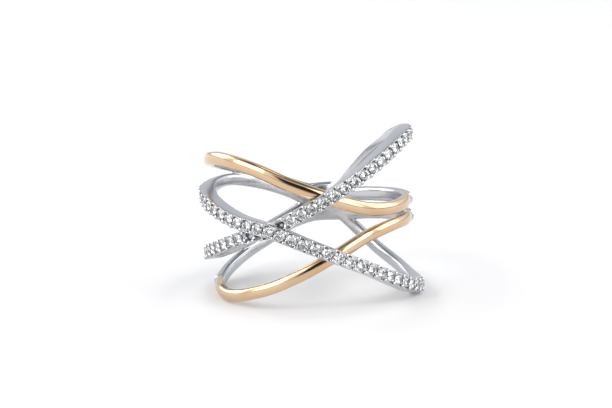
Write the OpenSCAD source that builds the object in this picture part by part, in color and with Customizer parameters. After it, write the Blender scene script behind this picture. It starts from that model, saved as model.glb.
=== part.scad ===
// Crossover ring: two stone-set bands cross over the front in an X, two plain gold wires weave
// past them, and all four run back into one white-metal shank behind the finger.

/* [Ring] */
// inner diameter of the finger hole, mm
inner_diameter = 17.3; // [15:0.1:21]
// height of the stone-set tips above the middle of the ring, mm
tip_height = 7.15; // [5.5:0.05:8.5]
// height of the gold tips above the middle of the ring, mm
wire_height = 6.4; // [5.5:0.05:7.5]

/* [Stone-set bands] */
// width of a stone-set band, mm
pave_width = 1.35; // [1.2:0.05:1.8]
// thickness of a stone-set band, finger to rail top, mm
pave_depth = 1.47; // [1.4:0.01:1.7]
// first stone, angle round the ring, degrees
row_start = 176; // [172:1:182]
// last stone, angle round the ring, degrees
row_end = 351; // [346:1:355]

/* [Stones] */
// stones a full row holds
stones_per_row = 29; // [24:1:30]
// diameter of a stone, mm
stone_diameter = 1.0; // [0.8:0.02:1.04]
// gap between a stone and the metal round it, mm
stone_gap = 0.035; // [0.02:0.005:0.06]
// diameter of a bead that holds the stones, mm
bead_diameter = 0.44; // [0.36:0.02:0.48]
// height of a bead above the rail top, mm
bead_rise = 0.18; // [0.1:0.01:0.25]

/* [Gold wires] */
// width of the upper gold wire, mm
upper_width = 1.25; // [1:0.05:1.4]
// width of the lower gold wire, mm
lower_width = 1.15; // [1:0.05:1.4]
// thickness of a gold wire, mm
wire_depth = 0.8; // [0.6:0.02:0.86]
// gap between the gold wires and the white metal, mm
joint_gap = 0.04; // [0.02:0.01:0.08]

/* [Shank] */
// width of a back arm, mm
arm_width = 1.15; // [1:0.05:1.4]
// thickness of the arms and the shank, mm
arm_depth = 1.05; // [0.95:0.01:1.3]
// height of the shank behind the finger, mm
shank_height = 3.75; // [3.2:0.05:4.2]

/* [Hidden] */
step = 6;
ri = inner_diameter / 2;
rail_top = ri + pave_depth;
arm_top = ri + arm_depth;
wire_top = ri + wire_depth;
// paths: angle round the ring from its right side, back at 90, front at 270; height as a share
RISING = [[90, 0], [100, -0.13], [115, -0.28], [130, -0.385], [145, -0.448], [160, -0.448], [180, -0.392],
    [205, -0.266], [229, -0.1], [247, 0.007], [268, 0.227], [294, 0.531], [318, 0.804], [335, 0.951],
    [350, 1], [365, 0.986], [380, 0.923], [395, 0.804], [407, 0.664], [420, 0.43], [432, 0.19], [440, 0.08], [450, 0]];
UPPER = [[90, 0.172], [103, 0.305], [115, 0.461], [133, 0.633], [150, 0.758], [165, 0.859], [180, 0.93],
    [192, 0.969], [205, 1], [217, 0.984], [230, 0.925], [241, 0.839], [260, 0.622], [282, 0.383], [304, 0.178],
    [326, 0.106], [345, 0.106], [360, 0.109], [385, 0.095], [410, 0.085], [432, 0.09], [450, 0.172]];
LOWER = [[90, -0.21], [103, -0.305], [115, -0.461], [133, -0.633], [150, -0.781], [165, -0.891], [180, -0.938],
    [192, -0.961], [205, -0.992], [217, -0.977], [230, -0.922], [241, -0.859], [260, -0.688], [282, -0.445],
    [304, -0.219], [326, -0.138], [345, -0.138], [360, -0.145], [385, -0.165], [410, -0.18], [432, -0.2], [450, -0.21]];
// back arms of the gold wires: angle, width as a share of arm_width
UPPER_WIDTH = [[90, 1.1], [120, 1], [172, 1.02], [360, 1.05], [378, 1.16], [400, 1.2], [450, 1.1]];
LOWER_WIDTH = [[90, 1.2], [120, 1], [172, 0.98], [360, 1], [378, 1.2], [400, 1.3], [450, 1.2]];
// profiles: share of the depth from the finger outward, share of the half width
ARM_PROFILE = [[0, -0.86], [0, 0.86], [0.18, 1], [0.66, 0.9], [1, 0.4], [1, -0.4], [0.66, -0.9], [0.18, -1]];
RAIL_PROFILE = [[0, -0.86], [0, 0.86], [0.1, 1], [0.5, 1], [1, 1], [1, -1], [0.5, -1], [0.1, -1]];
WIRE_PROFILE = [[0, -0.72], [0, 0.72], [0.18, 0.96], [0.5, 1], [0.82, 0.76], [1, 0.26], [1, -0.26],
    [0.82, -0.76], [0.5, -1], [0.18, -0.96]];
// where the gold stops and the white metal goes on
gold_start = 171;
gold_end = 362;

girdle = 0.03;
crown = 0.15 * stone_diameter;
pavilion = 0.4 * stone_diameter;
seat_floor = rail_top - 0.508;
girdle_level = rail_top - 0.04;
channel_half = stone_diameter / 2 + stone_gap;
bead_out = channel_half + 0.029;

function wrap(a) = 90 + ((a - 90) % 360 + 360) % 360;
function knot(t, a, i = 0) = i < len(t) - 2 && a >= t[i + 1][0] ? knot(t, a, i + 1) : i;
// slope at a knot; the path closes on itself, so the ends use each other's neighbours
function turn(t, i) =
    let(n = len(t) - 1,
        before = i == 0 ? [t[n - 1][0] - 360, t[n - 1][1]] : t[i - 1],
        after = i == n ? [t[1][0] + 360, t[1][1]] : t[i + 1],
        h0 = t[i][0] - before[0], h1 = after[0] - t[i][0])
    ((t[i][1] - before[1]) / h0 * h1 + (after[1] - t[i][1]) / h1 * h0) / (h0 + h1);
function path(t, angle) =
    let(a = wrap(angle), i = knot(t, a), h = t[i + 1][0] - t[i][0], u = (a - t[i][0]) / h)
    (2 * u * u * u - 3 * u * u + 1) * t[i][1] + (u * u * u - 2 * u * u + u) * h * turn(t, i)
    + (3 * u * u - 2 * u * u * u) * t[i + 1][1] + (u * u * u - u * u) * h * turn(t, i + 1);
function soft(u) = let(v = min(1, max(0, u))) v * v * (3 - 2 * v);
// 1 over the front of the ring, 0 over its back
function front(angle) = let(a = wrap(angle)) soft((a - 150) / 24) * (1 - soft((a - 353) / 24));

function rising_z(a) = tip_height * path(RISING, a);
function falling_z(a) = -rising_z(a);
function upper_z(a) = wire_height * path(UPPER, a);
function lower_z(a) = wire_height * path(LOWER, a);
function z_of(k, a) = k == 0 ? rising_z(a) : k == 1 ? falling_z(a) : k == 2 ? upper_z(a) : lower_z(a);
// rise of a path for its run round the ring
function slope(k, a) = (z_of(k, a + 1) - z_of(k, a - 1)) / (2 * PI / 180 * (ri + 0.8));
function stretch(k, a) = sqrt(1 + slope(k, a) * slope(k, a));

// one cross-section, in the plane through the finger axis at angle a
function section(k, a, profile, inner, outer, width) =
    [for (p = profile) let(r = inner + (outer - inner) * p[0])
        [r * cos(a), r * sin(a), z_of(k, a) + p[1] * width / 2 * stretch(k, a)]];

// skin over a list of sections
module skin(rows, closed = false) {
    n = len(rows[0]);
    m = len(rows);
    sides = [for (i = [0 : m - (closed ? 1 : 2)], j = [0 : n - 1])
        let(a = i * n + j, b = i * n + (j + 1) % n, c = ((i + 1) % m) * n + j, d = ((i + 1) % m) * n + (j + 1) % n)
        each [[a, d, b], [a, c, d]]];
    caps = closed ? [] : [for (j = [1 : n - 2]) each [[0, j, j + 1],
        [(m - 1) * n, (m - 1) * n + j + 1, (m - 1) * n + j]]];
    polyhedron(points = [for (row = rows) each row], faces = concat(sides, caps), convexity = 8);
}

// a stone-set band, all the way round the ring
function band_section(k, a) =
    let(f = front(a), profile = [for (i = [0 : 7]) ARM_PROFILE[i] * (1 - f) + RAIL_PROFILE[i] * f])
    section(k, a, profile, ri, arm_top + (rail_top - arm_top) * f, arm_width + (pave_width - arm_width) * f);
// where each run has its sections: one a stone in front and plain steps behind the finger, each run
// set off by its own share of a step so that no two runs have theirs in one plane
SHIFT = [0.1, 0.35, 0.63, 0.77, 0.88];
back = 360 - row_end + row_start;
function behind(k) = let(n = round(back / step)) [for (i = [0 : n - 1]) row_end + back * (i + SHIFT[k]) / n];
function stations(k) = concat([for (i = [0 : stones_per_row - 2]) stone_angle(k, i + SHIFT[k])], behind(k));
function between(k, a0, a1) = concat(a0, [for (a = behind(k)) if (a > a0 + 1.5 && a < a1 - 1.5) a], a1);
module band(k) {
    skin([for (a = stations(k)) band_section(k, a)], closed = true);
}

// the trough the stones of a band sit in
module trough(k) {
    rows = [seat_floor, girdle_level - 0.05, rail_top + 0.5];
    half = [0.1, channel_half, channel_half];
    angles = concat(row_start - 3.6, [for (i = [0 : stones_per_row - 2]) stone_angle(k, i + 0.5)], row_end + 3.6);
    skin([for (a = angles) let(s = stretch(k, a), z = z_of(k, a))
        concat([for (j = [2 : -1 : 0]) [rows[j] * cos(a), rows[j] * sin(a), z - half[j] * s]],
            [for (j = [0 : 2]) [rows[j] * cos(a), rows[j] * sin(a), z + half[j] * s]])]);
}

// white arm that carries a gold wire on behind the finger
module arm(k, widths) {
    skin([for (a = between(k, gold_end + 0.25, gold_start + 359.75))
        section(k, a, ARM_PROFILE, ri, arm_top, arm_width * path(widths, a))]);
}

module shank() {
    // a little taller in the middle than where it leaves the arms
    rows = [for (a = between(4, 425.5, 454.5)) let(h = shank_height * (1 - 0.0003 * (a - 440) * (a - 440)))
        [for (p = ARM_PROFILE) let(r = ri + arm_depth * p[0]) [r * cos(a), r * sin(a), -0.03 * shank_height + p[1] * h / 2]]];
    skin(rows);
}

// a gold wire's cross-section; with room round it, it also runs on inward, past the wall of the finger hole
function wire_section(k, a, width, room) =
    [for (p = WIRE_PROFILE)
        let(r = ri + wire_depth * p[0] + (p[0] >= 0.5 ? room : p[0] == 0 && room > 0 ? -0.5 : 0))
        [r * cos(a), r * sin(a), z_of(k, a) + (p[1] * width / 2 + sign(p[1]) * room) * stretch(k, a)]];

// a gold wire; room is what is left round it where the white metal crosses it
module wire(k, width, room = 0) {
    over = room > 0 ? 0.1 : -0.05;
    n = round((gold_end - gold_start) / step);
    skin([for (i = [0 : n]) let(a = i == 0 ? gold_start - over : i == n ? gold_end + over : gold_start + step * i)
        wire_section(k, a, width, room)]);
}

// angles that share a band's length evenly
function lengths(k, a0, a1, n = 90, i = 0, run = 0) =
    let(h = (a1 - a0) / n, a = a0 + h * i)
    i == n ? [[run, a]] : concat([[run, a]],
        lengths(k, a0, a1, n, i + 1, run + h * PI / 180 * rail_top * stretch(k, a + h / 2)));
ROWS = [for (k = [0, 1]) lengths(k, row_start, row_end)];
function stone_angle(k, i) = lookup(ROWS[k][90][0] * i / (stones_per_row - 1), ROWS[k]);

// how far a point of the rising band is from the middle of the falling band, across it
function off_crossing(a, z) = abs(z - falling_z(a)) / stretch(1, a);

// stands a child on a band: outward along x, along the band, and across it
module on_band(k, a, r, across = 0) {
    tilt = atan(slope(k, a));
    b = a - across * sin(tilt) / r * 180 / PI;
    rotate([0, 0, b]) translate([r, 0, z_of(k, a) + across * cos(tilt)]) rotate([tilt, 0, 0]) rotate([0, 90, 0]) children();
}

module stone() {
    d = stone_diameter;
    hull() {
        cylinder(d1 = d, d2 = 0.58 * d, h = crown, $fn = 8);
        translate([0, 0, -pavilion]) cylinder(d1 = 0, d2 = d, h = pavilion, $fn = 8);
    }
}

module stones(k) {
    for (i = [0 : stones_per_row - 1]) {
        a = stone_angle(k, i);
        if (k == 1 || off_crossing(a, rising_z(a)) > pave_width / 2 + stone_diameter / 2 + stone_gap)
            on_band(k, a, girdle_level - girdle) stone();
    }
}

module beads(k) {
    for (i = [-0.5 : 1 : stones_per_row - 0.5], side = [-1, 1]) {
        a = i < 0 ? row_start - 3.1 : i > stones_per_row - 1 ? row_end + 3.1 : (stone_angle(k, i - 0.5) + stone_angle(k, i + 0.5)) / 2;
        tilt = atan(slope(k, a));
        z = z_of(k, a) + side * bead_out * cos(tilt);
        b = a - side * bead_out * sin(tilt) / rail_top * 180 / PI;
        if (k == 1 || off_crossing(b, z) > pave_width / 2 + bead_diameter / 2)
            on_band(k, a, rail_top - 0.34, side * bead_out)
                hull() cylinder(d1 = bead_diameter, d2 = 0.7 * bead_diameter, h = 0.34 + bead_rise, $fn = 10);
    }
}

// the ring lies on three low points: one by the falling band's right tip and two of the lower wire
BODY = [for (k = [0, 1], a = stations(k)) each band_section(k, a)];
FEET = [band_section(1, behind(1)[1])[7],
    for (a = [gold_start + 0.05, gold_start + step]) section(3, a, WIRE_PROFILE, ri, wire_top, lower_width)[8]];
feet_cross = cross(FEET[2] - FEET[0], FEET[1] - FEET[0]);
UP = feet_cross / norm(feet_cross) * sign(feet_cross[2]);
ACROSS = [UP[2], 0, -UP[0]] / norm([UP[2], 0, -UP[0]]);
AHEAD = cross(UP, ACROSS);
// middle of the ring's plan as it lies, so the origin is under its centre
function middle(line) = (max([for (v = line) v]) + min([for (v = line) v])) / 2;
MIDDLE = [middle([for (v = BODY) ACROSS * v]), middle([for (v = BODY) AHEAD * v]), UP * FEET[0]];
module rest() {
    multmatrix([for (i = [0 : 2]) let(row = [ACROSS, AHEAD, UP][i]) [row[0], row[1], row[2], -MIDDLE[i]]]) children();
}

module white_frame() {
    color("silver") rest() {
        difference() {
            union() {
                difference() {
                    band(0);
                    trough(0);
                }
                band(1);
                arm(2, UPPER_WIDTH);
                arm(3, LOWER_WIDTH);
                shank();
            }
            trough(1);
            wire(2, upper_width, joint_gap);
            wire(3, lower_width, joint_gap);
        }
        beads(0);
        beads(1);
    }
}

module upper_gold_band() {
    color("gold") rest() wire(2, upper_width);
}

module lower_gold_band() {
    color("gold") rest() wire(3, lower_width);
}

module rising_stones() {
    color("white") rest() stones(0);
}

module falling_stones() {
    color("white") rest() stones(1);
}

white_frame();
upper_gold_band();
lower_gold_band();
rising_stones();
falling_stones();
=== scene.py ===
"""Crossover ring: two stone-set bands cross over the front, two rose gold wires weave past them,
and all four run back into one white gold shank behind the finger."""

import math

import bmesh
import bpy
import numpy as np
from mathutils import Matrix, Vector


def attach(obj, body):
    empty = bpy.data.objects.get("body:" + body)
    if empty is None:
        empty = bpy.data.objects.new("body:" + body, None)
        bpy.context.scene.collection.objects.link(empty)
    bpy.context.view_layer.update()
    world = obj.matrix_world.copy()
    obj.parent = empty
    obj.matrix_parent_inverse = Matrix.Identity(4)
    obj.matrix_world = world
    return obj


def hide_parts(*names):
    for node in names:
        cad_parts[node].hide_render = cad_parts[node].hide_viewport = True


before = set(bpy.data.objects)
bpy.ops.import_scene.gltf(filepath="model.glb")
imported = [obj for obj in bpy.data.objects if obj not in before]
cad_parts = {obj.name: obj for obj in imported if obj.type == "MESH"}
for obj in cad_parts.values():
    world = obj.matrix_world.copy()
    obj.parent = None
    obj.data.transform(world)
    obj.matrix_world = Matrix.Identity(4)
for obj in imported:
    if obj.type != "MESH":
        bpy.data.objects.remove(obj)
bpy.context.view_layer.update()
MM = 0.001

# Lengths in millimetres and angles in degrees, the same as the solids'
INNER = 17.3 / 2
TIP_HEIGHT = 7.15
WIRE_HEIGHT = 6.4
PAVE_WIDTH, PAVE_DEPTH = 1.35, 1.47
ROW_START, ROW_END = 176, 351
STONES_PER_ROW = 29
STONE_DIAMETER = 1.0
STONE_GAP = 0.035
BEAD_DIAMETER = 0.44
UPPER_WIDTH, LOWER_WIDTH = 1.25, 1.15
WIRE_DEPTH = 0.8
JOINT_GAP = 0.04
ARM_WIDTH, ARM_DEPTH = 1.15, 1.05
SHANK_HEIGHT = 3.75
SHANK_START, SHANK_MIDDLE, SHANK_END = 425.5, 440, 454.5
SECTION_STEP = 6
GOLD_START, GOLD_END, GOLD_SHORT = 171, 362, 0.05
RAIL_TOP = INNER + PAVE_DEPTH
ARM_TOP = INNER + ARM_DEPTH
SEAT_RADIUS = STONE_DIAMETER / 2 + STONE_GAP
BEAD_OUT = SEAT_RADIUS + 0.029

# Sizes of the scene alone: its stones fill their seats, and its beads lean in over them
GIRDLE_LEVEL = RAIL_TOP - 0.09
STONE_FILL = 1.05
BEAD_LEAN = 0.1
# how deep a rail's wall dips beside each stone
SCALLOP = 0.04
# how much is rounded off a rail's edges past its last stones
SHOULDER = 0.3
# how far the ends of the rails and of the arms go under each other's surface
UNDER = 0.03

# Paths: angle round the ring from its right side, back at 90 and front at 270; height as a share
RISING = [(90, 0), (100, -0.13), (115, -0.28), (130, -0.385), (145, -0.448), (160, -0.448), (180, -0.392),
          (205, -0.266), (229, -0.1), (247, 0.007), (268, 0.227), (294, 0.531), (318, 0.804), (335, 0.951),
          (350, 1), (365, 0.986), (380, 0.923), (395, 0.804), (407, 0.664), (420, 0.43), (432, 0.19),
          (440, 0.08), (450, 0)]
UPPER = [(90, 0.172), (103, 0.305), (115, 0.461), (133, 0.633), (150, 0.758), (165, 0.859), (180, 0.93),
         (192, 0.969), (205, 1), (217, 0.984), (230, 0.925), (241, 0.839), (260, 0.622), (282, 0.383),
         (304, 0.178), (326, 0.106), (345, 0.106), (360, 0.109), (385, 0.095), (410, 0.085), (432, 0.09),
         (450, 0.172)]
LOWER = [(90, -0.21), (103, -0.305), (115, -0.461), (133, -0.633), (150, -0.781), (165, -0.891),
         (180, -0.938), (192, -0.961), (205, -0.992), (217, -0.977), (230, -0.922), (241, -0.859),
         (260, -0.688), (282, -0.445), (304, -0.219), (326, -0.138), (345, -0.138), (360, -0.145),
         (385, -0.165), (410, -0.18), (432, -0.2), (450, -0.21)]
# back arms of the gold wires: angle, width as a share of ARM_WIDTH
UPPER_ARM = [(90, 1.1), (120, 1), (172, 1.02), (360, 1.05), (378, 1.16), (400, 1.2), (450, 1.1)]
LOWER_ARM = [(90, 1.2), (120, 1), (172, 0.98), (360, 1), (378, 1.2), (400, 1.3), (450, 1.2)]


def path(table, angle):
    """A table's value at each angle, along the closed cubic that the solids follow."""
    x, y = np.array(table, float).T
    before = np.r_[x[-2] - 360, x[:-1]], np.r_[y[-2], y[:-1]]
    after = np.r_[x[1:], x[1] + 360], np.r_[y[1:], y[1]]
    h0, h1 = x - before[0], after[0] - x
    slope = ((y - before[1]) / h0 * h1 + (after[1] - y) / h1 * h0) / (h0 + h1)
    a = 90 + (np.asarray(angle, float) - 90) % 360
    i = np.clip(np.searchsorted(x, a, side="right") - 1, 0, len(x) - 2)
    h = x[i + 1] - x[i]
    u = (a - x[i]) / h
    return ((2 * u ** 3 - 3 * u ** 2 + 1) * y[i] + (u ** 3 - 2 * u ** 2 + u) * h * slope[i]
            + (3 * u ** 2 - 2 * u ** 3) * y[i + 1] + (u ** 3 - u ** 2) * h * slope[i + 1])


def soft(u):
    """0 below 0, 1 above 1 and a smooth rise between."""
    v = np.clip(u, 0, 1)
    return v * v * (3 - 2 * v)


def front(angle):
    """1 over the stone-set front of a band, 0 over its plain back arm."""
    a = 90 + (np.asarray(angle, float) - 90) % 360
    return soft((a - 150) / 24) * (1 - soft((a - 353) / 24))


HEIGHTS = {
    "rising": lambda a: TIP_HEIGHT * path(RISING, a),
    "falling": lambda a: -TIP_HEIGHT * path(RISING, a),
    "upper": lambda a: WIRE_HEIGHT * path(UPPER, a),
    "lower": lambda a: WIRE_HEIGHT * path(LOWER, a),
}


def stretch(run, a):
    """How much longer a sloping run is than its plan, so widths are measured across it."""
    rise = HEIGHTS[run](a + 1) - HEIGHTS[run](a - 1)
    return np.sqrt(1 + (rise / (2 * math.pi / 180 * (INNER + 0.8))) ** 2)


def place(run, angle, radius, across):
    """Points of a run at each angle: distance from the finger axis, and distance across the run."""
    angle, radius, across = np.broadcast_arrays(np.asarray(angle, float), radius, across)
    t = np.radians(angle)
    z = HEIGHTS[run](angle) + across * stretch(run, angle)
    return np.stack([radius * np.cos(t), radius * np.sin(t), z], -1)


def row_length(run):
    """Angles from just before a stone row to just after it, and the length from its first stone to each."""
    edge = np.linspace(ROW_START - 7, ROW_END + 7, 379)
    mid = (edge[1:] + edge[:-1]) / 2
    length = np.r_[0, np.cumsum(np.radians(np.diff(edge)) * RAIL_TOP * stretch(run, mid))]
    return edge, length - np.interp(ROW_START, edge, length)


def pitch(run):
    """Distance from one stone to the next."""
    return np.interp(ROW_END, *row_length(run)) / (STONES_PER_ROW - 1)


def row_angles(run, places):
    """Angles of places along a stone row; place 0 is the first stone and each stone is one further."""
    edge, length = row_length(run)
    return np.interp(np.asarray(places, float) * pitch(run), length, edge)


def off_crossing(angle, z):
    """Distance of a point from the middle of the falling band, across that band."""
    return np.abs(z - HEIGHTS["falling"](angle)) / stretch("falling", angle)


# Where the bands' solids have their sections, whose corners decide how the ring lies
SHIFT = {"rising": 0.1, "falling": 0.35}
BACK_SPAN = 360 - ROW_END + ROW_START
BACK_STEPS = round(BACK_SPAN / SECTION_STEP)


def behind(run):
    """The angles of a band's sections behind the finger."""
    return ROW_END + BACK_SPAN * (np.arange(BACK_STEPS) + SHIFT[run]) / BACK_STEPS


def section_angles(run):
    """The angles of all of a band's sections."""
    return np.r_[row_angles(run, np.arange(STONES_PER_ROW - 1) + SHIFT[run]), behind(run)]


# corners of a band in the solid, as shares of its depth and of half its width
ARM_CORNERS = [(0, -0.86), (0, 0.86), (0.18, 1), (0.66, 0.9), (1, 0.4), (1, -0.4), (0.66, -0.9), (0.18, -1)]
RAIL_CORNERS = [(0, -0.86), (0, 0.86), (0.1, 1), (0.5, 1), (1, 1), (1, -1), (0.5, -1), (0.1, -1)]


def band_corners(run, angle):
    """The solid's corners of a band at each angle."""
    angle = np.atleast_1d(np.asarray(angle, float))[:, None]
    f = front(angle)
    depth = [np.array(c)[:, 0] for c in (ARM_CORNERS, RAIL_CORNERS)]
    half = [np.array(c)[:, 1] for c in (ARM_CORNERS, RAIL_CORNERS)]
    radius = INNER + (ARM_DEPTH + (RAIL_TOP - ARM_TOP) * f) * (depth[0] * (1 - f) + depth[1] * f)
    across = (ARM_WIDTH + (PAVE_WIDTH - ARM_WIDTH) * f) / 2 * (half[0] * (1 - f) + half[1] * f)
    return place(run, angle, radius, across)


# How the ring lies: on one corner by the falling band's right tip and two points of the lower wire
FEET = [
    band_corners("falling", behind("falling")[1])[0, 7],
    place("lower", GOLD_START + GOLD_SHORT, INNER + WIRE_DEPTH / 2, -LOWER_WIDTH / 2),
    place("lower", GOLD_START + SECTION_STEP, INNER + WIRE_DEPTH / 2, -LOWER_WIDTH / 2),
]
UP = np.cross(FEET[2] - FEET[0], FEET[1] - FEET[0])
UP = UP / np.linalg.norm(UP) * np.sign(UP[2])
ACROSS = np.array([UP[2], 0, -UP[0]]) / math.hypot(UP[2], UP[0])
AHEAD = np.cross(UP, ACROSS)
TURN = np.array([ACROSS, AHEAD, UP])
# the middle of the bands' plan and the height of the floor, in the turned frame
BODY = np.concatenate([band_corners(run, section_angles(run)).reshape(-1, 3) for run in SHIFT]) @ TURN.T
MIDDLE = np.r_[(BODY.max(0) + BODY.min(0))[:2] / 2, UP @ FEET[0]]


def lie(points):
    """Points of the upright ring, in millimetres, brought to where it lies, in metres."""
    return (np.asarray(points, float) @ TURN.T - MIDDLE) * MM


def outward_at(angle):
    """The direction straight out from the finger at each angle, as the ring lies."""
    t = np.radians(angle)
    return np.stack([np.cos(t), np.sin(t), 0 * t], -1) @ TURN.T


# Meshes
def add_mesh(name, points, faces, smooth=True):
    """A new object in the scene, made of these points and faces."""
    mesh = bpy.data.meshes.new(name)
    mesh.from_pydata([tuple(p) for p in points], [], [tuple(int(i) for i in f) for f in faces])
    mesh.polygons.foreach_set("use_smooth", [smooth] * len(mesh.polygons))
    mesh.update()
    obj = bpy.data.objects.new(name, mesh)
    bpy.context.scene.collection.objects.link(obj)
    return obj


def skin(sections, first=0):
    """Faces over a list of sections, with both ends closed. Returns points and faces."""
    rows, n = sections.shape[:2]
    i, j = np.meshgrid(np.arange(rows - 1), np.arange(n), indexing="ij")
    a, b = i * n + j, i * n + (j + 1) % n
    faces = list(np.stack([a, a + n, b + n, b], -1).reshape(-1, 4) + first)
    faces.append(range(first, first + n))
    faces.append(range(first + rows * n - 1, first + (rows - 1) * n - 1, -1))
    return sections.reshape(-1, 3), faces


def outward(obj):
    """Turns an object's faces to point out."""
    work = bmesh.new()
    work.from_mesh(obj.data)
    bmesh.ops.recalc_face_normals(work, faces=work.faces)
    work.to_mesh(obj.data)
    work.free()
    return obj


def settle(obj):
    """Replaces an object's mesh by what its modifiers make of it, and takes them off."""
    done = bpy.data.meshes.new_from_object(obj.evaluated_get(bpy.context.evaluated_depsgraph_get()))
    obj.modifiers.clear()
    obj.data = done
    return obj


def rounded(count, top, foot):
    """A rounded profile: depth share 0 to 1 and half-width share, squarer as top and foot grow."""
    t = np.radians(np.arange(count) * 360 / count)
    power = 2 / np.where(np.sin(t) > 0, top, foot)
    depth = 0.5 + 0.5 * np.sign(np.sin(t)) * np.abs(np.sin(t)) ** power
    return depth, np.sign(np.cos(t)) * np.abs(np.cos(t)) ** power


# Node trees: one function adds a node with its settings and links
def add(tree, kind, inputs=(), **settings):
    """A node of a tree. inputs gives each socket, by name or place, a value or another node's output."""
    node = tree.nodes.new(kind)
    for key, value in settings.items():
        setattr(node, key, value)
    for key, value in dict(inputs).items():
        socket = node.inputs[key]
        if isinstance(value, bpy.types.NodeSocket):
            tree.links.new(value, socket)
        else:
            socket.default_value = value
    return node


def linear(colour):
    """An sRGB hex colour as linear values, quite solid."""
    parts = [int(colour[i:i + 2], 16) / 255 for i in (1, 3, 5)]
    return tuple(c / 12.92 if c <= 0.04045 else ((c + 0.055) / 1.055) ** 2.4 for c in parts) + (1.0,)


def noise(tree, spot, size, detail=2.0, roughness=0.5):
    """Noise from 0 to 1 whose waves are about size millimetres long."""
    return add(tree, "ShaderNodeTexNoise", {"Vector": spot, "Scale": 1 / (size * MM), "Detail": detail,
                                            "Roughness": roughness}).outputs["Fac"]


def ramp(tree, value, low, high, to_low=0.0, to_high=1.0, kind="LINEAR"):
    """A value's place between low and high, brought to between to_low and to_high."""
    return add(tree, "ShaderNodeMapRange", {"Value": value, "From Min": low, "From Max": high,
                                            "To Min": to_low, "To Max": to_high},
               interpolation_type=kind).outputs["Result"]


def blend(tree, share, first, second):
    """A colour between two, the second where share is 1."""
    return add(tree, "ShaderNodeMix", {"Factor": share, 6: first, 7: second}, data_type="RGBA").outputs[2]


def material(name):
    """A new material and its empty node tree."""
    mat = bpy.data.materials.new(name)
    mat.use_nodes = True
    mat.node_tree.nodes.clear()
    return mat, mat.node_tree


def polished_metal(name, colour, deep, roughness, ripple):
    """A cast metal, buffed: soft ripples left by the buff and hairlines too fine to see one by one."""
    mat, tree = material(name)
    spot = add(tree, "ShaderNodeTexCoord").outputs["Object"]
    # the buff leaves waves about 0.6 mm long and less than 0.02 mm deep
    waves = noise(tree, spot, 0.6, roughness=0.45)
    # wiping hairlines are 0.01 mm wide; drawn at 0.06 mm so they show
    lean = add(tree, "ShaderNodeMapping", {"Vector": spot, "Rotation": (0.3, 0.2, 0.6),
                                           "Scale": (0.12, 1.0, 1.0)}).outputs["Vector"]
    lines = noise(tree, lean, 0.06, detail=1.0)
    # broad 4 mm clouds of a slightly darker colour, where fingers touch
    clouds = noise(tree, spot, 4, detail=1.0)
    tint = blend(tree, ramp(tree, clouds, 0.3, 0.7), linear(colour), linear(deep))
    gloss = ramp(tree, lines, 0.25, 0.75, roughness * 0.94, roughness * 1.08)
    bump = add(tree, "ShaderNodeBump", {"Height": waves, "Strength": ripple, "Distance": 0.02 * MM})
    scratch = add(tree, "ShaderNodeBump", {"Height": lines, "Strength": 0.08, "Distance": 0.004 * MM,
                                           "Normal": bump.outputs["Normal"]})
    shader = add(tree, "ShaderNodeBsdfPrincipled", {"Base Color": tint, "Roughness": gloss, "Metallic": 1.0,
                                                    "Normal": scratch.outputs["Normal"]})
    add(tree, "ShaderNodeOutputMaterial", {"Surface": shader.outputs["BSDF"]})
    return mat


def cut_diamond():
    """Small diamonds, near colourless and clear: what they mirror and bend makes them bright or dark."""
    mat, tree = material("brilliant_cut_diamond")
    spot = add(tree, "ShaderNodeTexCoord").outputs["Object"]
    # each stone is its own crystal: a 1 mm cloud shifts them a little from white to grey
    clouds = noise(tree, spot, 1.0)
    tint = blend(tree, ramp(tree, clouds, 0.35, 0.65), linear("#F4F4F5"), linear("#D6D8DB"))
    shader = add(tree, "ShaderNodeBsdfPrincipled", {"Base Color": tint, "Roughness": 0.0, "IOR": 2.42,
                                                    "Transmission Weight": 1.0})
    add(tree, "ShaderNodeOutputMaterial", {"Surface": shader.outputs["BSDF"]})
    return mat


# rhodium-plated white gold: cool, very light grey, a soft mirror
WHITE_GOLD = polished_metal("rhodium_plated_white_gold", "#C1C2C4", "#B6B8BC", roughness=0.24, ripple=0.18)
# 14 carat rose gold, buffed: warm peach that goes dark brown where it mirrors something dark
ROSE_GOLD = polished_metal("polished_rose_gold", "#D6B998", "#CCAC8A", roughness=0.13, ripple=0.18)
DIAMOND = cut_diamond()


# Geometry node trees
def new_tree(name, sockets):
    """A geometry node tree and its inputs: the geometry and the named sockets."""
    tree = bpy.data.node_groups.new(name, "GeometryNodeTree")
    tree.interface.new_socket("Geometry", in_out="INPUT", socket_type="NodeSocketGeometry")
    for label, kind, value in sockets:
        socket = tree.interface.new_socket(label, in_out="INPUT", socket_type="NodeSocket" + kind)
        if value is not None:
            socket.default_value = value
    tree.interface.new_socket("Geometry", in_out="OUTPUT", socket_type="NodeSocketGeometry")
    return tree, tree.nodes.new("NodeGroupInput").outputs


def end_tree(tree, geometry, finish):
    """Ends a tree in real geometry with its material, and returns the tree."""
    real = add(tree, "GeometryNodeRealizeInstances", {"Geometry": geometry}).outputs["Geometry"]
    dressed = add(tree, "GeometryNodeSetMaterial", {"Geometry": real, "Material": finish}).outputs["Geometry"]
    add(tree, "NodeGroupOutput", {"Geometry": dressed})
    return tree


def calc(tree, operation, *values):
    """The result of one sum of values or other nodes' outputs."""
    return add(tree, "ShaderNodeMath", dict(enumerate(values)), operation=operation).outputs[0]


def attribute(tree, name, kind):
    """A value that each point of the path brings with it."""
    return add(tree, "GeometryNodeInputNamedAttribute", {"Name": name}, data_type=kind).outputs["Attribute"]


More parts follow.
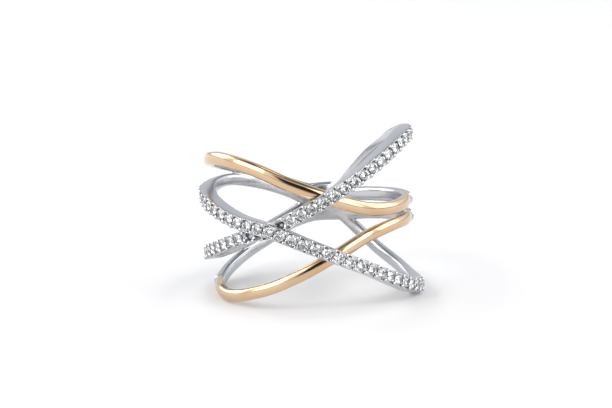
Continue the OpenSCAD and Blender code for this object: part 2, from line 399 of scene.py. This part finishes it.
def wire_tree():
    """A half-round wire along a path: a domed outer face, squarer towards the finger."""
    tree, given = new_tree("half_round_wire", [("Width", "Float", 1.2 * MM), ("Depth", "Float", 0.8 * MM),
                                               ("Dome", "Float", 2.2), ("Foot", "Float", 5.0),
                                               ("Round", "Int", 44), ("Material", "Material", None)])
    line = add(tree, "GeometryNodeMeshToCurve", {"Mesh": given["Geometry"]}).outputs["Curve"]
    out = attribute(tree, "outward", "FLOAT_VECTOR")
    line = add(tree, "GeometryNodeSetCurveNormal", {"Curve": line, "Normal": out},
               mode="FREE").outputs["Curve"]
    ring = add(tree, "GeometryNodeCurvePrimitiveCircle",
               {"Resolution": given["Round"], "Radius": 1.0}).outputs["Curve"]
    spot = add(tree, "ShaderNodeSeparateXYZ", {0: add(tree, "GeometryNodeInputPosition").outputs[0]}).outputs
    upper = calc(tree, "GREATER_THAN", spot["X"], 0.0)
    square = calc(tree, "ADD", calc(tree, "MULTIPLY", upper, given["Dome"]),
                  calc(tree, "MULTIPLY", calc(tree, "SUBTRACT", 1.0, upper), given["Foot"]))
    power = calc(tree, "DIVIDE", 2.0, square)
    shaped = [calc(tree, "MULTIPLY", calc(tree, "SIGN", spot[axis]),
                   calc(tree, "POWER", calc(tree, "ABSOLUTE", spot[axis]), power)) for axis in "XY"]
    sized = [calc(tree, "MULTIPLY", calc(tree, "MULTIPLY", part, given[size]), 0.5)
             for part, size in zip(shaped, ("Depth", "Width"))]
    corner = add(tree, "ShaderNodeCombineXYZ", {"X": sized[0], "Y": sized[1]}).outputs[0]
    profile = add(tree, "GeometryNodeSetPosition", {"Geometry": ring, "Position": corner}).outputs["Geometry"]
    body = add(tree, "GeometryNodeCurveToMesh", {"Curve": line, "Profile Curve": profile,
                                                 "Fill Caps": True}).outputs["Mesh"]
    body = add(tree, "GeometryNodeSetShadeSmooth", {"Geometry": body}).outputs["Geometry"]
    return end_tree(tree, body, given["Material"])


def row_tree(name, sides):
    """Copies of one piece at even distances along a band, each standing on it; sides puts them to
    either side of the middle, and the attribute of that side says where there is room for one."""
    tree, given = new_tree(name, [("Piece", "Object", None), ("Count", "Int", 29), ("Size", "Float", 1.0),
                                  ("Spread", "Float", 0.0), ("Vary", "Float", 0.0), ("Spin", "Float", 0.0),
                                  ("Seed", "Int", 7), ("Material", "Material", None)])
    line = add(tree, "GeometryNodeMeshToCurve", {"Mesh": given["Geometry"]}).outputs["Curve"]
    line = add(tree, "GeometryNodeResampleCurve", {"Curve": line, "Count": given["Count"]}).outputs["Curve"]
    out = attribute(tree, "outward", "FLOAT_VECTOR")
    along = add(tree, "GeometryNodeInputTangent").outputs[0]
    across = add(tree, "ShaderNodeVectorMath", {0: out, 1: along}, operation="CROSS_PRODUCT").outputs[0]
    stand = add(tree, "FunctionNodeAxesToRotation", {0: out, 1: along},
                primary_axis="Z", secondary_axis="X").outputs[0]
    piece = add(tree, "GeometryNodeObjectInfo", {"Object": given["Piece"]}).outputs["Geometry"]
    join = tree.nodes.new("GeometryNodeJoinGeometry")
    for side, room in sides:
        spread = calc(tree, "MULTIPLY", given["Spread"], side)
        shift = add(tree, "ShaderNodeVectorMath", {0: across, "Scale": spread}, operation="SCALE").outputs[0]
        spots = add(tree, "GeometryNodeSetPosition", {"Geometry": line, "Offset": shift}).outputs["Geometry"]
        seed = calc(tree, "ADD", given["Seed"], side + 2)
        vary = add(tree, "FunctionNodeRandomValue", {2: calc(tree, "SUBTRACT", 1.0, given["Vary"]),
                                                     3: calc(tree, "ADD", 1.0, given["Vary"]), "Seed": seed},
                   data_type="FLOAT").outputs[1]
        spin = add(tree, "FunctionNodeRandomValue", {2: 0.0, 3: given["Spin"], "Seed": seed},
                   data_type="FLOAT").outputs[1]
        spin = add(tree, "FunctionNodeAxisAngleToRotation", {"Axis": (0, 0, 1), "Angle": spin}).outputs[0]
        turned = add(tree, "FunctionNodeRotateRotation", {"Rotation": stand, "Rotate By": spin},
                     rotation_space="LOCAL").outputs[0]
        size = calc(tree, "MULTIPLY", given["Size"], vary)
        size = add(tree, "ShaderNodeVectorMath", {0: (1, 1, 1), "Scale": size}, operation="SCALE").outputs[0]
        copies = add(tree, "GeometryNodeInstanceOnPoints",
                     {"Points": spots, "Instance": piece, "Rotation": turned, "Scale": size,
                      "Selection": calc(tree, "GREATER_THAN", attribute(tree, room, "FLOAT"), 0.0)})
        tree.links.new(copies.outputs["Instances"], join.inputs[0])
    return end_tree(tree, join.outputs[0], given["Material"])


def dressed_path(name, lines, attributes, tree, values):
    """Paths of points, in the ring's own millimetres, dressed by a node tree and made one plain mesh."""
    counts = [len(line) for line in lines]
    starts = np.cumsum([0] + counts[:-1])
    mesh = bpy.data.meshes.new(name)
    mesh.from_pydata(lie(np.concatenate(lines)).tolist(),
                     [(int(s + i), int(s + i + 1)) for s, n in zip(starts, counts) for i in range(n - 1)], [])
    for label, data in attributes.items():
        data = np.concatenate(data)
        kind, field = ("FLOAT_VECTOR", "vector") if data.ndim == 2 else ("FLOAT", "value")
        layer = mesh.attributes.new(label, kind, "POINT")
        layer.data.foreach_set(field, data.astype(np.float32).ravel())
    obj = bpy.data.objects.new(name, mesh)
    bpy.context.scene.collection.objects.link(obj)
    grown = obj.modifiers.new(tree.name, "NODES")
    grown.node_group = tree
    for item in tree.interface.items_tree:
        if item.in_out == "INPUT" and item.name in values:
            grown[item.identifier] = values[item.name]
    return settle(obj)


# Gold wires
def gold_wire(run, width, tree):
    """A rose gold wire over the front of the ring."""
    angle = np.linspace(GOLD_START + GOLD_SHORT, GOLD_END - GOLD_SHORT, 270)
    obj = dressed_path(f"{run}_gold_wire", [place(run, angle, INNER + WIRE_DEPTH / 2, 0)],
                       {"outward": [outward_at(angle)]}, tree,
                       {"Width": width * MM, "Depth": WIRE_DEPTH * MM, "Material": ROSE_GOLD})
    return outward(obj)


# The white arms and the shank
def arms_and_shank():
    """The back of the ring, cast in one and softened where its arms run together."""
    plain = rounded(28, top=2.3, foot=3.4)
    # the profile that meets the rails has their leaning sides and the rounded edges of their shoulders
    depth, half = rounded(28, top=9, foot=6)
    boxy = depth * (1 - SHOULDER / (RAIL_TOP - INNER) * half ** 4 * depth ** 2), half * (0.84 + 0.16 * depth)
    points, faces, sweeps = [], [], []
    # the bands' arms begin this many degrees past their rows of stones, under the ends of the rails
    past_row = 3.1
    for run in ("rising", "falling"):
        angle = np.linspace(ROW_END + past_row, ROW_START + 360 - past_row, 130)
        from_end = np.minimum(angle - angle[0], angle[-1] - angle)[:, None]
        # its two ends go a little into the stone-set rails, just under their surface
        under = UNDER * (1 - soft(from_end / 1.6))
        f = front(angle)[:, None]
        square = 1 - soft(from_end / 7)
        depth, half = [a * (1 - square) + b * square for a, b in zip(plain, boxy)]
        tall = ARM_DEPTH + (RAIL_TOP - ARM_TOP) * f - 2 * under
        wide = (ARM_WIDTH + (PAVE_WIDTH - ARM_WIDTH) * f) / 2 - under
        sweeps.append(place(run, angle[:, None], INNER + under + tall * depth, wide * half))
    # the wires' arms begin this many degrees past the gold's span; with GOLD_SHORT that is the joint
    arm_short = 0.25
    for run, table in (("upper", UPPER_ARM), ("lower", LOWER_ARM)):
        angle = np.linspace(GOLD_END + arm_short, GOLD_START + 360 - arm_short, 120)[:, None]
        half = ARM_WIDTH * path(table, angle) / 2 * plain[1]
        sweeps.append(place(run, angle, INNER + ARM_DEPTH * plain[0], half))
    # the shank is tallest in its middle and sits a little low
    angle = np.linspace(SHANK_START, SHANK_END, 24)[:, None]
    t, r = np.radians(angle), INNER + ARM_DEPTH * plain[0]
    taper = 1 - 0.0003 * (angle - SHANK_MIDDLE) ** 2
    z = -0.03 * SHANK_HEIGHT + SHANK_HEIGHT * taper / 2 * plain[1]
    sweeps.append(np.stack([r * np.cos(t), r * np.sin(t), z], -1))
    for sweep in sweeps:
        more_points, more_faces = skin(sweep, len(points))
        points += more_points.tolist()
        faces += more_faces
    # all of this is in the upright ring's millimetres, and is laid down once it is melted together
    obj = outward(add_mesh("arms_and_shank", points, faces))
    melt = obj.modifiers.new("cast_in_one", "REMESH")
    melt.mode, melt.voxel_size, melt.use_smooth_shade = "VOXEL", 0.07, True
    flow = obj.modifiers.new("buffed", "SMOOTH")
    flow.factor, flow.iterations = 0.5, 14
    settle(obj)
    spots = np.zeros(len(obj.data.vertices) * 3)
    obj.data.vertices.foreach_get("co", spots)
    obj.data.vertices.foreach_set("co", lie(spots.reshape(-1, 3)).ravel())
    obj.data.update()
    return obj


# Stone-set rails
# half the outline of a rail outside its seats: mm from the middle, and share of the rail's height
RAIL_OUTSIDE = [(0.0, 0.0), (0.3, 0.0), (0.46, 0.0), (0.53, 0.03), (0.57, 0.1), (0.615, 0.3), (0.65, 0.55),
                (0.67, 0.74), (0.666, 0.86), (0.648, 0.945), (0.615, 0.99)]
RAIL_HALF = 0.67


def rail(run):
    """A stone-set rail: thin walls with a scallop at each stone and a cone-shaped seat under it."""
    # 16 sections to a stone, and one stone's length past each end of the row
    places = np.arange(-15 / 16, STONES_PER_ROW - 1 + 15.1 / 16, 1 / 16)
    angle = row_angles(run, places)[:, None]
    f = front(angle)
    nearest = np.clip(np.round(places), 0, STONES_PER_ROW - 1)
    from_stone = np.abs(places - nearest)[:, None]
    gap = from_stone * pitch(run)
    past = np.maximum(-places, places - (STONES_PER_ROW - 1))[:, None]
    opened = 1 - soft((past - 0.44) / 0.1)
    shoulder = soft((past + 0.2) / 0.65)
    top = ARM_TOP + (RAIL_TOP - ARM_TOP) * f
    # the wall dips beside each stone and is whole under each bead
    wave = np.clip(0.5 + 0.5 * np.cos(2 * math.pi * places[:, None]), 0, 1)
    dip = SCALLOP * wave ** 1.3 * opened * (past < 0.5)
    # half the width of the round seats, and of the channel that joins them
    seat = np.maximum(np.sqrt(np.maximum(SEAT_RADIUS ** 2 - gap ** 2, 0)), 0.3)
    rise = soft((gap - 0.15) / 0.4)
    half_across, half_out = [], []
    # its inner face stands this far off the finger hole's wall
    lift = 0.012
    wide = (ARM_WIDTH + (PAVE_WIDTH - ARM_WIDTH) * f) / PAVE_WIDTH
    for across, share in RAIL_OUTSIDE:
        half_across.append(across * wide)
        half_out.append(lift + (top - INNER - lift - dip * (share > 0.9)) * share)
    # a seat, from its rim down: deep and cone-shaped under a stone, shallow between two
    for across, down in ((seat + 0.06, 0.0), (seat + 0.02, 0.012), (seat, 0.05), (seat, 0.12 - 0.03 * rise),
                         (0.55 * seat, 0.31 - 0.17 * rise), (0.1 + 0 * seat, 0.62 - 0.46 * rise)):
        half_across.append(across)
        half_out.append(top - INNER - np.where(down < 0.06, dip, 0) - down * opened)
    across = np.concatenate([np.hstack(half_across), -np.hstack(half_across[:0:-1])], 1)
    out = np.concatenate([np.hstack(half_out), np.hstack(half_out[:0:-1])], 1)
    # past the last stones its edges are rounded off, into the plain arm
    edge = np.clip(np.abs(across) / (RAIL_HALF * wide), 0, 1) ** 4 * (out / (top - INNER)) ** 3
    # and at last they dive just under the arm's surface
    dive = soft((past - 0.62) / 0.3)
    radius = INNER + UNDER * dive + (out - SHOULDER * shoulder * edge) * (1 - 0.05 * dive)
    across = across * (1 - 0.08 * dive)
    spots = place(run, angle, radius, across)
    if run == "rising":
        # it stops inside the wall of the falling rail, which runs on over it
        sunk = 1 - soft((off_crossing(angle, spots[..., 2]) - 0.58) / 0.05)
        radius = radius - sunk * np.maximum(radius - (RAIL_TOP - 0.8), 0)
    for wire, width in (("upper", UPPER_WIDTH), ("lower", LOWER_WIDTH)):
        # arched over the gold wire that runs under it
        off = np.abs(spots[..., 2] - HEIGHTS[wire](angle)) / stretch(wire, angle)
        arch = soft((width / 2 + JOINT_GAP + 0.04 - off) / 0.04)
        radius = np.maximum(radius, INNER + (WIRE_DEPTH + JOINT_GAP) * arch)
    obj = outward(add_mesh(f"{run}_rail", *skin(lie(place(run, angle, radius, across)))))
    obj.data.set_sharp_from_angle(angle=math.radians(38))
    return obj


# Beads and stones
PATH_POINTS = 460


def lathed_bead():
    """One raised bead on its stem, its zero at the rail's top: a shallow ball, pushed up by the graver."""
    profile = [(0.18, -0.3), (0.2, -0.1), (0.208, 0.0), (0.2, 0.05), (0.167, 0.1), (0.11, 0.134),
               (0.042, 0.147)]
    sides = 14
    t = np.radians(np.arange(sides) * 360 / sides)
    rows = np.array([[(r * math.cos(a), r * math.sin(a), z) for a in t] for r, z in profile]) * MM
    return outward(add_mesh("bead_master", *skin(rows)))


def brilliant():
    """A round brilliant of 1 mm: table, 8 stars, 8 kites, 16 upper halves, a thin girdle, 16 lower halves
    and 8 pavilion mains. Its zero is at the girdle."""
    table_r, star_r, lower_r, crown, culet, edge = 0.29, 0.385, 0.11, 0.15, -0.41, 0.012

    def ring(radius, height, offset, count=8):
        """Corners at even angles round the stone, the first at offset degrees."""
        t = np.radians(offset + np.arange(count) * 360 / count)
        return [(radius * math.cos(a), radius * math.sin(a), height) for a in t]

    lean = math.cos(math.radians(22.5))
    star_z = edge + (crown - edge) * (0.5 - star_r * lean) / (0.5 - table_r)
    lower_z = -edge + (culet + edge) * (0.5 - lower_r * lean) / 0.5
    spots = (ring(table_r, crown, 0) + ring(star_r, star_z, 22.5) + ring(0.5, edge, 0, 16)
             + ring(0.5, -edge, 0, 16) + ring(lower_r, lower_z, 22.5) + [(0, 0, culet)])
    table, star, upper, lower, hook, tip = 0, 8, 16, 32, 48, 56
    faces = [list(range(8))]
    for i in range(8):
        j, back = (i + 1) % 8, (i - 1) % 8
        g, h, k = 2 * i, 2 * i + 1, (2 * i + 2) % 16
        faces += [[table + i, star + i, table + j], [table + i, star + back, upper + g, star + i],
                  [star + i, upper + g, upper + h], [star + i, upper + h, upper + k],
                  [upper + g, lower + g, lower + h, upper + h], [upper + h, lower + h, lower + k, upper + k],
                  [hook + i, lower + h, lower + g], [hook + i, lower + k, lower + h],
                  [hook + i, lower + g, hook + back, tip]]
    return outward(add_mesh("brilliant_master", np.array(spots) * MM, faces, smooth=False))


def stone_row(run, master, tree, seed):
    """A row of stones. The rising row has none where the falling band covers it."""
    angle = row_angles(run, np.linspace(0, STONES_PER_ROW - 1, PATH_POINTS))
    line = place(run, angle, GIRDLE_LEVEL, 0)
    room = np.ones(len(angle))
    # a stone has room where it is clear of the falling band
    if run == "rising":
        room = off_crossing(angle, HEIGHTS[run](angle)) - (PAVE_WIDTH / 2 + STONE_DIAMETER / 2 + STONE_GAP)
    return dressed_path(f"{run}_diamonds", [line], {"outward": [outward_at(angle)], "room": [room]}, tree,
                        {"Piece": master, "Count": STONES_PER_ROW, "Size": STONE_FILL * STONE_DIAMETER,
                         "Spin": math.pi / 4, "Seed": seed, "Material": DIAMOND})


def bead_rows(master, tree):
    """A pair of beads between each two stones, but none where the falling band runs over the rising one."""
    lines, out, rooms = [], [], {"room_above": [], "room_below": []}
    for run in ("rising", "falling"):
        angle = row_angles(run, np.linspace(0.5, STONES_PER_ROW - 1.5, PATH_POINTS))
        lines.append(place(run, angle, RAIL_TOP, 0))
        out.append(outward_at(angle))
        rise = HEIGHTS[run](angle + 1) - HEIGHTS[run](angle - 1)
        lean = np.arctan(np.sqrt(stretch(run, angle) ** 2 - 1)) * np.sign(rise)
        for label, side in (("room_above", 1), ("room_below", -1)):
            z = HEIGHTS[run](angle) + side * BEAD_OUT * np.cos(lean)
            turned = angle - np.degrees(side * BEAD_OUT * np.sin(lean) / RAIL_TOP)
            clear = off_crossing(turned, z) - (PAVE_WIDTH + BEAD_DIAMETER) / 2
            rooms[label].append(clear if run == "rising" else np.ones(len(angle)))
    return dressed_path("setting_beads", lines, {"outward": out, **rooms}, tree,
                        {"Piece": master, "Count": STONES_PER_ROW - 1, "Spread": (BEAD_OUT - BEAD_LEAN) * MM,
                         "Vary": 0.06, "Seed": 5, "Material": WHITE_GOLD})


# The pieces, each in the place of the solid that it dresses
wires = wire_tree()
pieces = {}
for run, width in (("upper", UPPER_WIDTH), ("lower", LOWER_WIDTH)):
    pieces[run] = gold_wire(run, width, wires)
    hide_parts(f"{run}_gold_band")

master = brilliant()
stones_tree = row_tree("stones_along_a_band", [(0.0, "room")])
for run, seed in (("rising", 11), ("falling", 23)):
    pieces[run + "_stones"] = stone_row(run, master, stones_tree, seed)
    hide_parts(f"{run}_stones")
bpy.data.objects.remove(master)

master = lathed_bead()
beads_tree = row_tree("beads_along_a_band", [(1.0, "room_above"), (-1.0, "room_below")])
pieces["beads"] = bead_rows(master, beads_tree)
bpy.data.objects.remove(master)
pieces["arms"] = arms_and_shank()
for run in ("rising", "falling"):
    pieces[run + "_rail"] = rail(run)
for key in ("beads", "arms", "rising_rail", "falling_rail"):
    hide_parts("white_frame")
for key in ("arms", "rising_rail", "falling_rail"):
    pieces[key].data.materials.clear()
    pieces[key].data.materials.append(WHITE_GOLD)
for obj in pieces.values():
    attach(obj, "root")


# Floor, light and camera
def floor_material():
    """A sheet of matt white acrylic: plain, with a dullness that varies a little."""
    mat, tree = material("matt_white_acrylic")
    spot = add(tree, "ShaderNodeTexCoord").outputs["Object"]
    # the sheet's fine tooth is 0.2 mm; drawn at 1 mm so it shows at all
    tooth = noise(tree, spot, 1.0)
    dull = ramp(tree, tooth, 0.0, 1.0, 0.55, 0.7)
    shader = add(tree, "ShaderNodeBsdfPrincipled", {"Base Color": linear("#E4E4E5"), "Roughness": dull})
    add(tree, "ShaderNodeOutputMaterial", {"Surface": shader.outputs["BSDF"]})
    return mat


# half the floor's side, in metres
REACH = 1.5
floor = add_mesh("floor", [(-REACH, -REACH, 0), (REACH, -REACH, 0), (REACH, REACH, 0), (-REACH, REACH, 0)],
                 [[0, 1, 2, 3]])
floor.data.materials.append(floor_material())


def softbox(name, spot, aim, size, power):
    """A square lamp at a spot, turned to its aim; lengths in metres and power in watts."""
    lamp = bpy.data.lights.new(name, "AREA")
    lamp.shape, lamp.size, lamp.size_y, lamp.energy = "RECTANGLE", size, size, power
    obj = bpy.data.objects.new(name, lamp)
    obj.location = spot
    obj.rotation_euler = (Vector(aim) - Vector(spot)).to_track_quat("-Z", "Y").to_euler()
    bpy.context.scene.collection.objects.link(obj)


centre = Vector(lie([0, 0, 0]))
softbox("overhead_softbox", (0.0, 0.02, 0.42), centre, size=0.16, power=0.15)
# panels round the ring, by their angle from the camera's side: each shows as a bright band along the wires
PANELS = {"left": (-125, 0.66), "left_front": (-65, 0.68), "right_front": (45, 0.62), "right": (100, 0.52)}
PANEL_AWAY, PANEL_HEIGHT, PANEL_SIZE = 0.36, 0.18, 0.3
for side, (degrees, power) in PANELS.items():
    turn = math.radians(degrees)
    spot = (PANEL_AWAY * math.sin(turn), -PANEL_AWAY * math.cos(turn), PANEL_HEIGHT)
    softbox(f"{side}_panel", spot, centre, PANEL_SIZE, power)
softbox("left_lamp", (-0.2, -0.2, 0.22), centre, size=0.05, power=0.06)
softbox("right_lamp", (0.22, -0.16, 0.26), centre, size=0.05, power=0.06)


def studio_world():
    """A pale room with lit cloth round it, open in front, where the dark of the camera side shows."""
    world = bpy.data.worlds.new("pale_studio")
    world.use_nodes = True
    tree = world.node_tree
    tree.nodes.clear()
    way = add(tree, "ShaderNodeTexCoord").outputs["Generated"]
    way = add(tree, "ShaderNodeSeparateXYZ", {0: way}).outputs
    level = calc(tree, "SQRT", calc(tree, "SUBTRACT", 1.001, calc(tree, "MULTIPLY", way["Z"], way["Z"])))
    ahead = calc(tree, "DIVIDE", calc(tree, "MULTIPLY", way["Y"], -1.0), level)

    def share(value, low, high):
        """0 before low, 1 past high and a smooth change between; high may be the lesser."""
        return ramp(tree, value, low, high, kind="SMOOTHSTEP")

    # the lit cloth stands from just over the floor to high up; the gap in front is a little lower
    wall = calc(tree, "MULTIPLY", share(way["Z"], 0.0, 0.1), share(way["Z"], 0.85, 0.66))
    gap = calc(tree, "MULTIPLY", share(ahead, 0.86, 0.94),
               calc(tree, "MULTIPLY", share(way["Z"], 0.0, 0.1), share(way["Z"], 0.72, 0.55)))
    # the cloth is brightest at the sides and dims to a third straight behind
    cloth = calc(tree, "ADD", 0.3, calc(tree, "MULTIPLY", share(ahead, -0.97, -0.6), 0.7))
    lit = calc(tree, "MULTIPLY", wall, calc(tree, "MULTIPLY", cloth, calc(tree, "SUBTRACT", 1.0, gap)))
    # the room is neutral in front and a little cooler behind
    room = blend(tree, share(way["Y"], 0.0, 0.8), linear("#BFBEBD"), linear("#C8CBD0"))
    room = blend(tree, gap, room, linear("#2E2A27"))
    # overhead, round the softbox, it is dim
    dim = calc(tree, "MULTIPLY", share(way["Z"], 0.78, 0.92), 0.7)
    power = calc(tree, "ADD", 1.0, calc(tree, "SUBTRACT", calc(tree, "MULTIPLY", lit, 1.35), dim))
    glow = add(tree, "ShaderNodeBackground", {"Color": room, "Strength": power})
    add(tree, "ShaderNodeOutputWorld", {"Surface": glow.outputs["Background"]})
    bpy.context.scene.world = world


studio_world()


def photo_camera():
    """The photograph's view of the upright ring: from 8 degrees above its middle, with the camera rolled
    4.7 degrees; how the ring lies turns that into a view from about 13 degrees above the floor."""
    height, roll, away = math.radians(8), math.radians(4.7), 0.3
    ahead = np.array([0, math.cos(height), -math.sin(height)])
    right, up = np.array([1.0, 0, 0]), np.array([0, math.sin(height), math.cos(height)])
    right, up = right * math.cos(roll) - up * math.sin(roll), right * math.sin(roll) + up * math.cos(roll)
    lens = bpy.data.cameras.new("photo_camera")
    lens.lens, lens.sensor_width = 188.6, 36
    # the photograph is 612 pixels wide, and the ring's middle is a few pixels off its middle
    lens.shift_x, lens.shift_y = -4.5 / 612, 10 / 612
    lens.clip_start, lens.clip_end = 0.01, 10
    cam = bpy.data.objects.new("photo_camera", lens)
    right, up, ahead = TURN @ right, TURN @ up, TURN @ ahead
    turned = Matrix(np.stack([right, up, -ahead], 1).tolist())
    cam.matrix_world = Matrix.Translation(centre - Vector(ahead) * away) @ turned.to_4x4()
    bpy.context.scene.collection.objects.link(cam)
    bpy.context.scene.camera = cam


photo_camera()
bpy.context.scene.view_settings.view_transform = "Standard"

bpy.context.view_layer.update()
